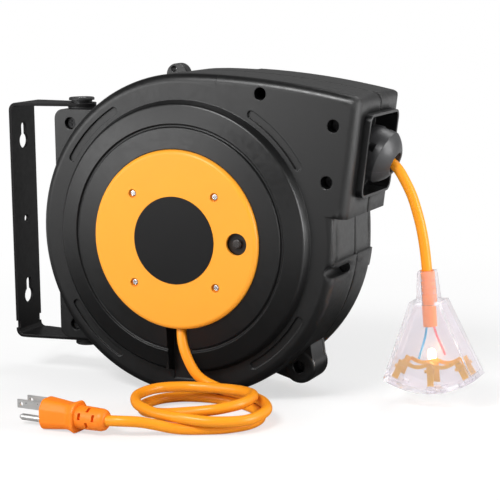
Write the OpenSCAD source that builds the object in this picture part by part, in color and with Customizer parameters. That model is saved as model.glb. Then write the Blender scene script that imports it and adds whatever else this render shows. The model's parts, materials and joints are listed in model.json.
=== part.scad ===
// Retractable extension cord reel on a swivelling wall bracket.
// Millimetres. The origin is the middle of the bracket's wall face, +X leaves the wall,
// the reel's front faces -Y and +Z is up.

/* [Node] */
// which piece to show, or all

/* [Bracket] */
// width of the steel strap at the wall
plate_w = 36; // [30:1:50]
// outside height of the bracket
plate_h = 198; // [190:1:220]
// steel thickness
steel_t = 2.5; // [2:0.1:4]
// inside bend radius
bend_r = 4; // [3:0.5:6]
// distance from the plate's inner face to the swivel axis
pivot_reach = 57; // [54:1:70]
// radius of the arm's round end
arm_end_r = 12; // [10:0.5:14]
// distance between the two keyholes
keyhole_pitch = 132; // [110:1:140]
// radius of the keyhole's wide end
keyhole_r = 6.5; // [5:0.1:8]
// width of the keyhole's slot
keyhole_slot = 7; // [5:0.1:8]
// rise from the wide end to the slot's end
keyhole_rise = 12; // [10:0.5:15]
// diameter of the middle hole
middle_hole_d = 6; // [4:0.1:8]

/* [Swivel] */
// radius of the swivel post
post_r = 7.5; // [6:0.1:9]
// radius of the flanged cap
cap_r = 10.5; // [9.5:0.1:12]
// radius of the cap's neck
cap_neck_r = 8.6; // [8:0.1:9.4]
// thickness of the flanged cap with its neck
cap_t = 4.2; // [3.8:0.1:6]
// thickness of the thrust washer
washer_t = 1.4; // [1:0.1:1.6]
// running clearance of every turning pair
run_gap = 0.05; // [0.02:0.01:0.1]

/* [Housing] */
// outer radius of the round housing
reel_r = 127; // [124:1:132]
// how far the swivel axis lies inside the round rim
pivot_inset = 12; // [10:0.5:14]
// depth of the front half at its flat ring
front_depth = 48; // [46:1:54]
// depth of the rear half at its flat ring
rear_depth = 38; // [37:1:46]
// plastic wall thickness
wall = 3; // [2.5:0.1:3.5]
// rounding of the front edge
edge_r = 7; // [5:0.5:9]
// outer radius of the raised dome
dome_r = 107; // [105:0.5:109]
// rise of the dome's outer step
dome_step = 6.5; // [5:0.5:8]
// radius of the ring groove
groove_r = 88; // [86:0.5:92]
// half thickness of the swivel block
block_half = 20; // [17:0.5:22]
// height of the swivel block
block_h = 190; // [188:0.5:190]

/* [Hub cover] */
// radius of the orange cover
cover_r = 70; // [66:0.5:74]
// height of the cover above its seat
cover_h = 7; // [6:0.5:9]
// radius of the bare label disc
label_r = 34; // [28:0.5:36]
// half spacing of the cover screws
cover_screw = 35; // [33:0.5:38]
// distance of the reset button from the axis
button_x = 53; // [50:0.5:56]
// radius of the button's well
button_well_r = 8.5; // [7:0.1:9]
// radius of the reset button
button_r = 3.6; // [3:0.1:4.5]
// stroke of the reset button
button_stroke = 3; // [2:0.1:3.5]

/* [Drum and cord] */
// diameter of the cord
cord_d = 8; // [7:0.1:9]
// radius at which the cord leaves the drum
wind_r = 84.5; // [80:0.5:88]
// radius of the drum's core
core_r = 40; // [38:0.5:44]
// radius of the drum's flanges
flange_r = 100; // [96:0.5:101]
// winding width between the flanges
wind_w = 54; // [50:0.5:55]
// thickness of each flange
flange_t = 3; // [2:0.1:3]
// radius of the fixed axle
axle_r = 8; // [7:0.1:9]
// teeth of the ratchet ring, a multiple of six
teeth = 12; // [6:6:24]

/* [Mouth] */
// downward tilt of the mouth
mouth_tilt = 7.6; // [5:0.1:10]
// how far the mouth's datum stands past the round rim
mouth_out = 6.5; // [4:0.5:9]
// half width of the guide's opening
guide_half = 30; // [28:0.5:30]
// wall of the guide's frame
guide_wall = 2; // [1.5:0.1:3]
// radius of the stop ball
ball_r = 21; // [18:0.5:22]
// radius of the guide rollers
roller_r = 6.5; // [5:0.1:8]

/* [Tap] */
// width of the tap at its outlets
tap_w = 72; // [66:1:80]
// thickness of the tap at its outlets
tap_t = 31; // [28:1:36]
// length of the tap
tap_l = 93; // [88:1:100]

/* [Hidden] */
$fn = 64;
e = 0.01;

cord_r = cord_d / 2;
pivot_x = steel_t + pivot_reach;
pivot_to_axis = reel_r - pivot_inset;
mouth_u = reel_r + mouth_out;
reel_x = pivot_x + pivot_to_axis;
arm_in = plate_h / 2 - steel_t;
block_z = min(block_h / 2, arm_in - washer_t - run_gap);
// level that the thrust washers lie on; under a taller bracket a collar on the block carries them
washer_z = max(block_z, arm_in - washer_t - 2 * run_gap);
top_r = 660;
// levels of the front, from the flat ring outwards
ring_y = -front_depth;
dome_y = ring_y - dome_step;
inner_y = dome_y - 4.5;
seat_y = inner_y + 1.5;
cover_y = seat_y - cover_h;
floor_y = seat_y + wall;
recess_r = cover_r + 0.3;
rear_dome = rear_depth + 5;
mouth_back = rear_depth + 6;
flange_y = wind_w / 2 + flange_t;
// ear on the rim for one of the housing's screws
lobe_r = 13.5;
lobe_a = -49.4;
lobe_d = reel_r + 6.2;
lobe_front = 24;
lobe_back = 6;
// flat on the rim under the mouth
flat_x = reel_r - 2.6;
flat_low = -13;
// screws through both halves: x and z from the reel's axis, and the y of the tip
head_y = -14;
screw_tip = 12;
shell_screws = [[(reel_r + 4) * cos(59.4), (reel_r + 4) * sin(59.4), screw_tip],
  [lobe_d * cos(lobe_a), lobe_d * sin(lobe_a), lobe_back - 0.5],
  [(reel_r - 2.6) * cos(9.5), -(reel_r - 2.6) * sin(9.5), screw_tip],
  [-pivot_to_axis, block_z - 11.5, screw_tip], [-pivot_to_axis, -block_z + 11.5, screw_tip]];
well_r = 4.8;
stub_r = 7.4;
shank_r = 1.9;
guide_out = guide_half + guide_wall;
guide_back = -38;
guide_front = 2.2;
// plane of the housing's side that the guide's frame stands out of
mouth_face = -3;
// rounding of the corner between the bent top and that side
bend_corner = 8;
stop_x = -19;
ball_x = -3.5;
ball_tilt = 16.4;
roller_x = -29;
roller_z = cord_r + roller_r + 0.4;
guide_fix = guide_half * 0.71;
ring_d = core_r + 25;
pawl_a = 140;
pawl_lead = 18;
pawl_d = ring_d + 9;
// height of the bent top over the cord where it ends at the mouth
top_dx = (mouth_u + mouth_face) * cos(mouth_tilt) + (wind_r + 45) * sin(mouth_tilt);
top_end = (reel_r + 0.2 - top_r + sqrt(top_r * top_r - top_dx * top_dx) + (mouth_u + mouth_face) * sin(mouth_tilt)) / cos(mouth_tilt) - wind_r;
mouth_at = [reel_x + mouth_u * cos(mouth_tilt) + wind_r * sin(mouth_tilt), 0, wind_r * cos(mouth_tilt) - mouth_u * sin(mouth_tilt)];
tap_at = mouth_at + [39.5, 0, -88.6];
plug_at = [reel_x - 44.5, -164.5, -116.6];
coil_at = [reel_x + 39.5, -100, 0];
coil_straight = 22;

// routes of the free cords, the first and last lengths straight: the outlet cord from the mouth, the lead from the axis
outlet_route = [[-3.5, 0, 0.5], [3.8, 0, -2.8], [10, 0, -6.4], [15.3, 0, -11.1], [20, 0, -17.9], [27, 0, -31.3],
  [32, 0, -46.1], [35.3, 0, -59.1], [37.7, 0, -73.1], [39.5, 0, -88.6]];
lead_route = [[0, -52.5, -50], [0, -52.8, -63], [1, -56, -71], [2.6, -58.9, -77.7], [6.8, -61.6, -88.9], [14.2, -62.2, -101.9],
  [22.8, -61, -109.7], [36.6, -59.8, -114.9]];
tail_route = [[49.1, -142.7, -124], [38.2, -147.6, -122.9], [26.2, -154.7, -119.4], [17.6, -161, -117], [6, -166.7, -116.1],
  [-4.1, -167.3, -116.6]];

module at_reel() { translate([reel_x, 0, 0]) children(); }
module at_mouth() {
  at_reel() rotate([0, mouth_tilt, 0]) translate([mouth_u, 0, wind_r]) children();
}
module at_ball() { at_mouth() translate([ball_x, 0, 0]) rotate([0, ball_tilt, 0]) children(); }
module at_tap() { translate(tap_at) rotate([0, -4, 0]) children(); }
module at_plug() { translate(plug_at) rotate([0, 0, 176]) children(); }
// turns a profile of (radius, y) about the reel's axis direction
module spin_y() { rotate([-90, 0, 0]) rotate_extrude($fn = 96) children(); }
// a bar of radius r along +Y from y0 to y1 at (x, z)
module bar_y(x, z, r, y0, y1) { translate([x, y0, z]) rotate([-90, 0, 0]) cylinder(r = r, h = y1 - y0); }
module bar_x(r, x0, x1) { translate([x0, 0, 0]) rotate([0, 90, 0]) cylinder(r = r, h = x1 - x0); }
// points of an arc, for profiles
function arc(c, r, a0, a1, n = 6) = [for (i = [0 : n]) c + r * [cos(a0 + (a1 - a0) * i / n), sin(a0 + (a1 - a0) * i / n)]];
function unit(v) = v / norm(v);
// one closed tube of n sides along a route, its side chosen by a fixed up vector
module tube(p, r, n = 10, up = [0, 1, 0.2]) {
  m = len(p);
  dir = [for (i = [0 : m - 1]) unit((i == m - 1 ? p[i] : p[i + 1]) - (i == 0 ? p[i] : p[i - 1]))];
  s = [for (d = dir) unit(cross(d, up))];
  t = [for (i = [0 : m - 1]) cross(dir[i], s[i])];
  pts = [for (i = [0 : m - 1]) for (k = [0 : n - 1]) p[i] + r * (cos(360 * k / n) * s[i] + sin(360 * k / n) * t[i])];
  sides = [for (i = [0 : m - 2]) for (k = [0 : n - 1]) let (a = i * n + k, b = i * n + (k + 1) % n)
      each [[a, a + n, b], [b, a + n, b + n]]];
  polyhedron(pts, concat([[for (k = [0 : n - 1]) k]], sides, [[for (k = [n - 1 : -1 : 0]) (m - 1) * n + k]]));
}

// wall bracket: one bent strap with tapered arms
module keyhole(z) {
  translate([-1, 0, z]) rotate([0, 90, 0]) cylinder(r = keyhole_r, h = steel_t + 2);
  translate([-1, -keyhole_slot / 2, z]) cube([steel_t + 2, keyhole_slot, keyhole_rise]);
  translate([-1, 0, z + keyhole_rise]) rotate([0, 90, 0]) cylinder(r = keyhole_slot / 2, h = steel_t + 2);
}
module u_side(x0, hh, r, far) {
  polygon(concat([[far, -hh]], [[far, hh]], arc([x0 + r, hh - r], r, 90, 180), arc([x0 + r, -hh + r], r, 180, 270)));
}
module wall_bracket() color("#232122") {
  tip = pivot_x + arm_end_r + 1;
  difference() {
    intersection() {
      rotate([90, 0, 0]) linear_extrude(plate_w + 2, center = true) difference() {
        u_side(0, plate_h / 2, bend_r + steel_t, tip);
        u_side(steel_t, arm_in, bend_r, tip + 1);
      }
      translate([0, 0, -plate_h]) linear_extrude(2 * plate_h) union() {
        polygon([[-1, -plate_w / 2], [12, -plate_w / 2], [pivot_x, -arm_end_r * 0.98],
            [pivot_x, arm_end_r * 0.98], [12, plate_w / 2], [-1, plate_w / 2]]);
        translate([pivot_x, 0]) circle(r = arm_end_r);
      }
    }
    for (s = [-1, 1]) {
      keyhole(s * keyhole_pitch / 2);
      translate([pivot_x, 0, s * (plate_h / 2 - steel_t / 2)]) cylinder(r = post_r + run_gap, h = steel_t + 2, center = true);
    }
    // bend reliefs of the lower arm
    for (w = [-1, 1]) translate([-1, w * plate_w / 2 - 2.5, -arm_in + bend_r + 1]) cube([steel_t + 2, 5, 6]);
    translate([-1, 0, 0]) rotate([0, 90, 0]) cylinder(d = middle_hole_d, h = steel_t + 2);
  }
}

// swivel: posts fixed in the block, turning in the arms
module ends() { for (s = [0, 1]) mirror([0, 0, s]) translate([pivot_x, 0, 0]) children(); }
post_low = block_z - 7;
cap_z = plate_h / 2 + 0.2;
module swivel_posts() color("#9a9da0") ends() difference() {
  translate([0, 0, post_low]) cylinder(r = post_r, h = cap_z - post_low);
  translate([0, 0, post_low - 1]) cylinder(r = 1.6, h = 20 + plate_h);
}
module thrust_washers() color("#d8d6cf") ends() difference() {
  translate([0, 0, washer_z]) cylinder(r = arm_end_r - 0.5, h = arm_in - washer_z - run_gap);
  translate([0, 0, washer_z - 1]) cylinder(r = post_r, h = 10);
}
module swivel_caps() color("#2c2c2e") ends() difference() {
  translate([0, 0, cap_z]) rotate_extrude() polygon([[0, 0], [cap_neck_r, 0], [cap_neck_r, 2], [cap_r, 2], [cap_r, cap_t - 0.6],
      [cap_r - 0.6, cap_t], [cap_r - 1.8, cap_t], [cap_r - 2.6, cap_t - 0.8], [0, cap_t - 0.8]]);
  translate([0, 0, cap_z - 1]) cylinder(r = 1.7, h = cap_t + 2);
  translate([0, 0, cap_z + cap_t - 1.9]) cylinder(r = 4, h = 3);
}
module cap_screws() color("#b9bcc0") ends() difference() {
  union() {
    translate([0, 0, post_low + 2]) cylinder(r = 1.6, h = cap_z + cap_t - post_low - 3.5);
    translate([0, 0, cap_z + cap_t - 1.9]) cylinder(r = 3.7, h = 1.7);
  }
  translate([0, 0, cap_z + cap_t - 0.6]) cube([5, 0.9, 1.6], center = true);
}

// solids that bound the two halves; o insets them by the wall. s is -1 for the front, 1 for the rear
function half_d(s) = s < 0 ? front_depth : rear_depth;
function corner(x, d, r, s) = [for (p = arc([x - r, d - r], r, 0, 90)) [p[0], s * p[1]]];
// the bent top and the flat mouth each carry their own rounded edge, and are crossed
module mouth_box(s, o) {
  d = (s < 0 ? front_depth : mouth_back) - o;
  r = edge_r - o * 0.6;
  intersection() {
    at_reel() translate([0, 0, reel_r + 0.2 - top_r]) rotate([-90, 0, 0]) rotate_extrude($fn = 96)
      polygon(concat([[top_r - 140, 0]], [[top_r - o, 0]], corner(top_r - o, d, r, s), [[top_r - 140, s * d]]));
    at_mouth() translate([0, 0, o - 47]) linear_extrude(120)
      polygon(concat([[-120 + o, -s], [mouth_face - o, -s]], corner(mouth_face - o, d + 0.3, r + 0.7, s), [[-120 + o, s * (d + 0.3)]]));
    at_mouth() translate([0, 70, 0]) rotate([90, 0, 0]) linear_extrude(140)
      polygon(concat([[-170, -60], [mouth_face - o + 0.25, -60]],
        arc([mouth_face - bend_corner + 0.25, top_end - bend_corner + 0.95], bend_corner - o, 0, 85), [[-170, top_end + 14]]));
  }
}
module block_half_solid(s) {
  x0 = pivot_x - 14.5;
  r = 8;
  rotate([90, 0, 0]) translate([0, 0, s < 0 ? 0 : -block_half]) linear_extrude(block_half)
    polygon(concat([[reel_x - 60, -block_z], [reel_x - 60, block_z]], arc([x0 + r, block_z - r], r, 90, 180), arc([x0 + r, -block_z + r], r, 180, 270)));
  if (washer_z > block_z + 0.01) ends() intersection() {
    translate([0, 0, block_z - 1]) cylinder(r = arm_end_r - 0.5, h = washer_z - block_z + 1);
    translate([-block_half, s < 0 ? -block_half : 0, 0]) cube([2 * block_half, block_half, washer_z]);
  }
}
module block_half_hollow(s) {
  translate([pivot_x - 14.5 + wall, s < 0 ? -block_half + wall : -e, -block_z + 30]) cube([60, block_half - wall + e, 2 * block_z - 60]);
}
module lobe_half(s) {
  d = s < 0 ? lobe_front : lobe_back;
  at_reel() rotate([0, -lobe_a, 0]) {
    translate([lobe_d, 0, 0]) spin_y() polygon(concat([[0, 0], [lobe_r, 0]], corner(lobe_r, d, 3, s), [[0, s * d]]));
    // webs that run out on the round wall
    rotate([90, 0, 0]) translate([0, 0, s < 0 ? 0 : 1 - d]) linear_extrude(d - 1)
      polygon([[lobe_d - 24, -30], [lobe_d + 2, -lobe_r + 0.5], [lobe_d + 2, lobe_r - 0.5], [lobe_d - 24, 30]]);
  }
}
module rim_cut() { at_reel() translate([flat_x, -80, flat_low]) cube([30, 160, 50]); }
// thicker wall behind the flat
module rim_back(s) {
  at_reel() translate([flat_x - 3.4, s < 0 ? 11 - front_depth : 0, flat_low - 6]) cube([3.4, half_d(s) - 11, 47]);
}
// a rounded square bar along X
module square_x(h, r, x0, x1) {
  translate([x0, 0, 0]) rotate([90, 0, 90]) linear_extrude(x1 - x0) polygon(concat(
      arc([h - r, h - r], r, 0, 90), arc([r - h, h - r], r, 90, 180), arc([r - h, r - h], r, 180, 270), arc([h - r, r - h], r, 270, 360)));
}
module mouth_hole() {
  at_mouth() square_x(guide_out + 0.2, 7.2, guide_back, guide_back + 60);
}
module arc_slot(a0, a1, y0, y1) {
  m = reel_r - 13.6;
  at_reel() rotate([-90, 0, 0]) translate([0, 0, y0]) {
    rotate([0, 0, -a1]) rotate_extrude(angle = a1 - a0, $fn = 96) translate([m - 3, 0]) square([6, y1 - y0]);
    for (a = [a0, a1]) rotate([0, 0, -a]) translate([m, 0, 0]) cylinder(r = 3, h = y1 - y0);
  }
}

module front_shell() color("#414244") {
  difference() {
    union() {
      difference() {
        union() {
          difference() {
            at_reel() spin_y() polygon(concat([[0, 0], [0, seat_y], [recess_r, seat_y], [recess_r, inner_y - 1.5],
                [groove_r - 1.6, inner_y], [groove_r - 0.6, inner_y + 2], [groove_r + 0.6, inner_y + 2], [groove_r + 1.6, inner_y + 0.4],
                [dome_r - 4, dome_y - 0.6]], [[dome_r - 2.2, dome_y + 0.6], [dome_r, ring_y]],
                [for (p = arc([reel_r - edge_r, front_depth - edge_r], edge_r, 90, 0)) [p[0], -p[1]]], [[reel_r, 0]]));
            rim_cut();
          }
          mouth_box(-1, 0);
          block_half_solid(-1);
          lobe_half(-1);
        }
        at_reel() spin_y() polygon(concat([[0, 1], [0, floor_y], [groove_r, floor_y], [dome_r - 6, dome_y + wall], [dome_r - 3, ring_y + wall]],
            [for (p = arc([reel_r - edge_r, front_depth - edge_r], edge_r - wall, 90, 0, 4)) [p[0], -p[1]]], [[reel_r - wall, 1]]));
        mouth_box(-1, wall);
        block_half_hollow(-1);
      }
      // screw posts that meet the rear half
      at_reel() for (p = shell_screws) intersection() {
        bar_y(p[0], p[1], stub_r, ring_y + 1, 0);
        union() {
          bar_y(0, 0, reel_r - 1, ring_y + 1, 0);
          translate([-reel_x, 0, 0]) { mouth_box(-1, 1); block_half_solid(-1); lobe_half(-1); }
        }
      }
      rim_back(-1);
      // posts of the guide's screws
      at_mouth() for (z = [-1, 1]) bar_y(guide_back / 2 - 2, z * guide_fix, stub_r, ring_y + 1, -guide_out - 0.2);
      // trough of the lead
      translate([reel_x - 12.5, seat_y + 0.5, -dome_r + 3]) cube([25, ring_y + 4 - seat_y - 0.5, dome_r - 3 - 44]);
      // seat of the pawl's pin
      at_pawl() bar_y(0, 0, 6, floor_y - 1, -flange_y - 8);
    }
    mouth_hole();
    // lead channel, from under the cover to the rim's flat ring
    translate([reel_x - 10, cover_y - 5, -dome_r - 6]) cube([20, ring_y + 1 - cover_y + 5, dome_r + 6 - 47]);
    // hub opening, breaker well and cover screw holes
    at_reel() {
      bar_y(0, 0, 27, seat_y - 1, floor_y + 1);
      bar_y(button_x, 0, 9.1, seat_y - 1, floor_y + 1);
      for (x = [-1, 1]) for (z = [-1, 1]) bar_y(x * cover_screw, z * cover_screw, shank_r + 0.02, seat_y - 1, floor_y + 1);
      for (p = shell_screws) {
        bar_y(p[0], p[1], well_r, ring_y - 2, head_y);
        bar_y(p[0], p[1], shank_r + 0.1, head_y - 1, 1);
      }
    }
    at_pawl() bar_y(0, 0, 2, floor_y + 1, 0);
    at_mouth() for (z = [-1, 1]) {
      bar_y(guide_back / 2 - 2, z * guide_fix, well_r, ring_y - 2, -guide_out - 4);
      bar_y(guide_back / 2 - 2, z * guide_fix, shank_r + 0.1, -guide_out - 5, -guide_out + 1);
    }
    for (q = [30, 120, 210, 300]) arc_slot(q + 1.3, q + 28.7, ring_y - 1, ring_y + 1.8);
    ends() translate([0, 0, post_low]) cylinder(r = post_r + 0.02, h = 60);
  }
}
module rear_shell() color("#3c3d3f") {
  difference() {
    union() {
      difference() {
        union() {
          difference() {
            at_reel() spin_y() polygon(concat([[0, 0], [reel_r, 0]], arc([reel_r - 8, rear_depth - 8], 8, 0, 90),
                [[reel_r - 29, rear_depth], [reel_r - 31, rear_dome - 1], [reel_r - 33, rear_dome], [0, rear_dome]]));
            rim_cut();
          }
          mouth_box(1, 0);
          block_half_solid(1);
          lobe_half(1);
          // hanging eye on the rim
          at_reel() bar_y(-27, reel_r - 4, 9, 0, 9);
        }
        at_reel() spin_y() polygon(concat([[0, -1], [reel_r - wall, -1]], arc([reel_r - 8, rear_depth - 8], 8 - wall, 0, 90, 4),
            [[reel_r - 30, rear_depth - wall], [reel_r - 33, rear_dome - wall], [0, rear_dome - wall]]));
        mouth_box(1, wall);
        block_half_hollow(1);
      }
      at_reel() for (p = shell_screws) intersection() {
        bar_y(p[0], p[1], stub_r, 0, mouth_back - 1.2);
        union() {
          bar_y(0, 0, reel_r - 1, 0, rear_depth - 1);
          translate([-reel_x, 0, 0]) { mouth_box(1, 1); block_half_solid(1); lobe_half(1); }
        }
      }
      rim_back(1);
      // axle boss with ribs
      at_reel() {
        bar_y(0, 0, 15, flange_y + 0.8, rear_dome - 1);
        for (a = [0 : 60 : 300]) rotate([0, a, 0]) translate([13, rear_dome - wall - 4, -1.2]) cube([reel_r - 52, wall + 3.2, 2.4]);
      }
    }
    mouth_hole();
    at_reel() {
      bar_y(0, 0, axle_r + 0.06, flange_y - 1, rear_dome - wall + 0.06);
      bar_y(-29.5, reel_r + 0.6, 2.4, -1, 10);
      for (p = shell_screws) bar_y(p[0], p[1], shank_r + 0.1, -1, p[2] + 1);
    }
    for (q = [30, 120, 210, 300]) arc_slot(q + 1.3, q + 28.7, rear_depth - 1.8, rear_depth + 1);
    ends() translate([0, 0, post_low]) cylinder(r = post_r + 0.02, h = 60);
  }
}
// one pan-head screw along +Y, its head's underside at y = 0
module screw_y(head_r, head_h, length) {
  difference() {
    union() {
      bar_y(0, 0, head_r, -head_h, 0);
      bar_y(0, 0, shank_r, -0.5, length);
    }
    for (a = [0, 90]) translate([0, -head_h, 0]) rotate([0, a, 0]) cube([head_r * 1.1, 1.4, 0.9], center = true);
  }
}
module housing_screws() color("#4a4c4e") at_reel() for (p = shell_screws) translate([p[0], head_y, p[1]]) screw_y(4.2, 2.6, p[2] - head_y);
module guide_screws() color("#4a4c4e") at_mouth() for (z = [-1, 1]) translate([guide_back / 2 - 2, -guide_out - 4, z * guide_fix]) screw_y(4.2, 2.6, 3.5 + guide_wall);

// hub cover: a shallow cap with a rounded edge
module hub_cover() color("#ffa832") {
  r = 3.5;
  difference() {
    at_reel() difference() {
      spin_y() polygon(concat([[0, seat_y], [0, cover_y]], [for (p = arc([cover_r - r, cover_h - r], r, 90, 0)) [p[0], seat_y - p[1]]], [[cover_r, seat_y]]));
      spin_y() polygon([[label_r + 3, cover_y + 2.6], [cover_r - 3, cover_y + 2.6], [cover_r - 2.6, seat_y + 1], [label_r + 3, seat_y + 1]]);
      bar_y(0, 0, label_r - 4, cover_y + 2.6, seat_y + 1);
      bar_y(0, 0, label_r + 0.1, cover_y - 1, cover_y + 1);
      bar_y(button_x, 0, button_well_r, cover_y - 1, seat_y + 1);
    }
    // screw wells
    at_reel() for (x = [-1, 1]) for (z = [-1, 1]) {
      bar_y(x * cover_screw, z * cover_screw, 3.4, cover_y - 1, cover_y + 2.6);
      bar_y(x * cover_screw, z * cover_screw, shank_r + 0.1, cover_y, seat_y + 1);
    }
    translate([reel_x - 10, cover_y + 2.6, -cover_r - 2]) cube([20, cover_h, 26]);
  }
  // posts under the screws
  at_reel() for (x = [-1, 1]) for (z = [-1, 1]) difference() {
    bar_y(x * cover_screw, z * cover_screw, 5, cover_y + 2, seat_y);
    bar_y(x * cover_screw, z * cover_screw, 3.4, cover_y, cover_y + 2.6);
    bar_y(x * cover_screw, z * cover_screw, shank_r + 0.1, cover_y, seat_y + 1);
  }
}
module hub_cover_screws() color("#d5d8da") at_reel() for (x = [-1, 1]) for (z = [-1, 1])
  translate([x * cover_screw, cover_y + 2.6, z * cover_screw]) screw_y(2.5, 1.4, cover_h - 0.8);
module label_disc() color("#141414") at_reel() bar_y(0, 0, label_r, cover_y - 0.4, cover_y + 1);

// reset breaker: a bush through the floor, with a button that slides in it
breaker_y = cover_y + 3.4;
module breaker_body() color("#1d1d1f") at_reel() difference() {
  union() {
    bar_y(button_x, 0, button_well_r - 0.3, breaker_y, seat_y - 0.1);
    bar_y(button_x, 0, 9, seat_y - 0.1, floor_y + 7);
  }
  bar_y(button_x, 0, button_r + run_gap, breaker_y - 1, breaker_y + button_stroke + 4.4);
}
module reset_button() color("#0f0f10") at_reel() {
  bar_y(button_x, 0, button_r, breaker_y - button_stroke + 0.6, breaker_y + 4.2);
  bar_y(button_x, 0, button_r - 0.8, breaker_y - button_stroke, breaker_y - button_stroke + 0.6);
}
// clamp that holds the lead in its trough
module lead_clamp() color("#2a2a2c") translate([reel_x, 0, 0]) difference() {
  translate([-9.9, ring_y - cord_r * 2 - 2.4, -62]) cube([19.8, cord_r * 2 + 3.4, 10]);
  translate([0, -52.8, -70]) cylinder(r = cord_r + 0.3, h = 30);
}

// fixed axle, slotted for the spring's inner end
module axle() color("#a8abae") at_reel() difference() {
  bar_y(0, 0, axle_r, -flange_y - 13, rear_dome - wall);
  translate([-0.8, -4.5, -0.3]) cube([1.6, wind_w / 2 + 3, axle_r + 1.3]);
}
// mainspring: one wound band inside the core
module mainspring() {
  n = 168;
  turns = 7;
  r0 = axle_r + 4.2;
  r1 = core_r - 5.5;
  band = 0.9;
  function rad(i) = r0 + (r1 - r0) * i / n;
  function ang(i) = -90 + 360 * turns * i / n;
  color("#6d7175") at_reel() rotate([-90, 0, 0]) translate([0, 0, -3]) linear_extrude(wind_w / 2 - 1) polygon(concat([[0.6, 0], [0.6, -r0]],
      [for (i = [1 : n]) (rad(i) - band / 2) * [cos(ang(i)), sin(ang(i))]],
      [for (i = [n : -1 : 1]) (rad(i) + band / 2) * [cos(ang(i)), sin(ang(i))]], [[-0.6, -r0 - band], [-0.6, 0]]));
}

// drum, its flanges and its cord
hub_y = -5.5;
module drum_core() color("#55585b") at_reel() difference() {
  spin_y() polygon([[axle_r + run_gap, -wind_w / 2], [core_r, -wind_w / 2], [core_r, wind_w / 2], [core_r - 4, wind_w / 2],
      [core_r - 4, -wind_w / 2 + 4], [axle_r + 6, -wind_w / 2 + 4], [axle_r + 6, hub_y], [axle_r + run_gap, hub_y]]);
  for (a = [45 : 90 : 315]) rotate([0, a, 0]) for (s = [-1, 1]) bar_y(core_r - 2, 0, 1.1, s < 0 ? -wind_w / 2 - 1 : wind_w / 2 - 8, s < 0 ? -wind_w / 2 + 8 : wind_w / 2 + 1);
}
module flange(y0) {
  difference() {
    spin_y() polygon([[core_r - 4, y0], [flange_r - 1, y0], [flange_r, y0 + 1], [flange_r, y0 + flange_t], [core_r - 4, y0 + flange_t]]);
    for (a = [15 : 60 : 315]) rotate([0, a, 0]) bar_y((ring_d + flange_r) / 2 + 4, 0, 9, y0 - 1, y0 + flange_t + 1);
    for (a = [45 : 90 : 315]) rotate([0, a, 0]) bar_y(core_r - 2, 0, 1.2, y0 - 1, y0 + flange_t + 1);
  }
}
module front_flange() color("#606366") at_reel() flange(-flange_y);
module rear_flange() color("#606366") at_reel() mirror([0, 1, 0]) flange(-flange_y);
module drum_screws() color("#c3c6c9") at_reel() for (a = [45 : 90 : 315]) rotate([0, a, 0]) for (s = [0, 1]) mirror([0, s, 0]) {
  bar_y(core_r - 2, 0, 1.05, -flange_y - 0.2, -flange_y + 9);
  bar_y(core_r - 2, 0, 1.9, -flange_y - (s == 0 ? 1.2 : 0.7), -flange_y);
}
module spring_cover() color("#4a4d50") at_reel()
  spin_y() polygon([[axle_r + 0.4, wind_w / 2], [core_r - 4, wind_w / 2], [core_r - 4, wind_w / 2 + 2], [axle_r + 0.4, wind_w / 2 + 2]]);
// inner layers of the wound cord, up to the layer that pays out
module wound_cord() color("#ff9d20") at_reel() {
  r1 = wind_r - cord_r - 0.15;
  k = round(wind_w / cord_d);
  p = (wind_w - 0.2) / k;
  spin_y() polygon(concat([[core_r, wind_w / 2 - 0.1], [core_r, -wind_w / 2 + 0.1]],
      [for (i = [0 : k - 1]) for (j = [0 : 5]) [r1 - cord_r * 0.5 + cord_r * 0.5 * sin(180 * (j + 0.5) / 6), -wind_w / 2 + 0.1 + p * (i + (j + 0.5) / 6)]]));
}
// slip rings, brushes and their carriers
slip_r = axle_r + 12;
slip_l = 14;
slip_flange = 6;
brush_w = 14;
brush_h = 13;
module slip_carrier() color("#8a3b24") at_reel()
  spin_y() polygon([[axle_r + 0.3, -flange_y - slip_l], [slip_r, -flange_y - slip_l], [slip_r, -flange_y - 0.6], [slip_r + slip_flange, -flange_y - 0.6],
      [slip_r + slip_flange, -wind_w / 2], [axle_r + 0.3, -wind_w / 2]]);
slip_at = [for (i = [0 : 2]) -flange_y - slip_l + 2 + 4 * i];
module slip_rings() color("#b87333") at_reel() for (y = slip_at) spin_y() translate([slip_r + 0.02, y]) square([1.98, 2.4]);
module brush_holder() color("#2b2b2d") at_reel() difference() {
  translate([-brush_w / 2, floor_y, slip_r + 2.6]) cube([brush_w, -flange_y - 1.6 - floor_y, brush_h]);
  for (y = slip_at) translate([-2.6, y, slip_r]) cube([5.2, 2.4, 12]);
}
module brushes() color("#7a6a58") at_reel() for (y = slip_at) translate([-2.5, y + 0.1, slip_r + 2.05]) cube([5, 2.2, 9.95]);

// ratchet and pawl in front of the front flange
tooth_h = 5;
module ratchet_ring() color("#8d9194") at_reel() difference() {
  bar_y(0, 0, ring_d, -flange_y - 4, -flange_y);
  bar_y(0, 0, core_r + 4, -flange_y - 5, -flange_y + 1);
  // one sloped gap per tooth
  for (i = [0 : teeth - 1]) rotate([0, -pawl_a - i * 360 / teeth, 0]) translate([0, -flange_y - 5, 0]) rotate([-90, 0, 0]) linear_extrude(6)
    polygon([[ring_d - tooth_h, 2], [ring_d + 1, 2.5], [ring_d + 1, -13 * 12 / max(teeth, 12)]]);
}
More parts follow.
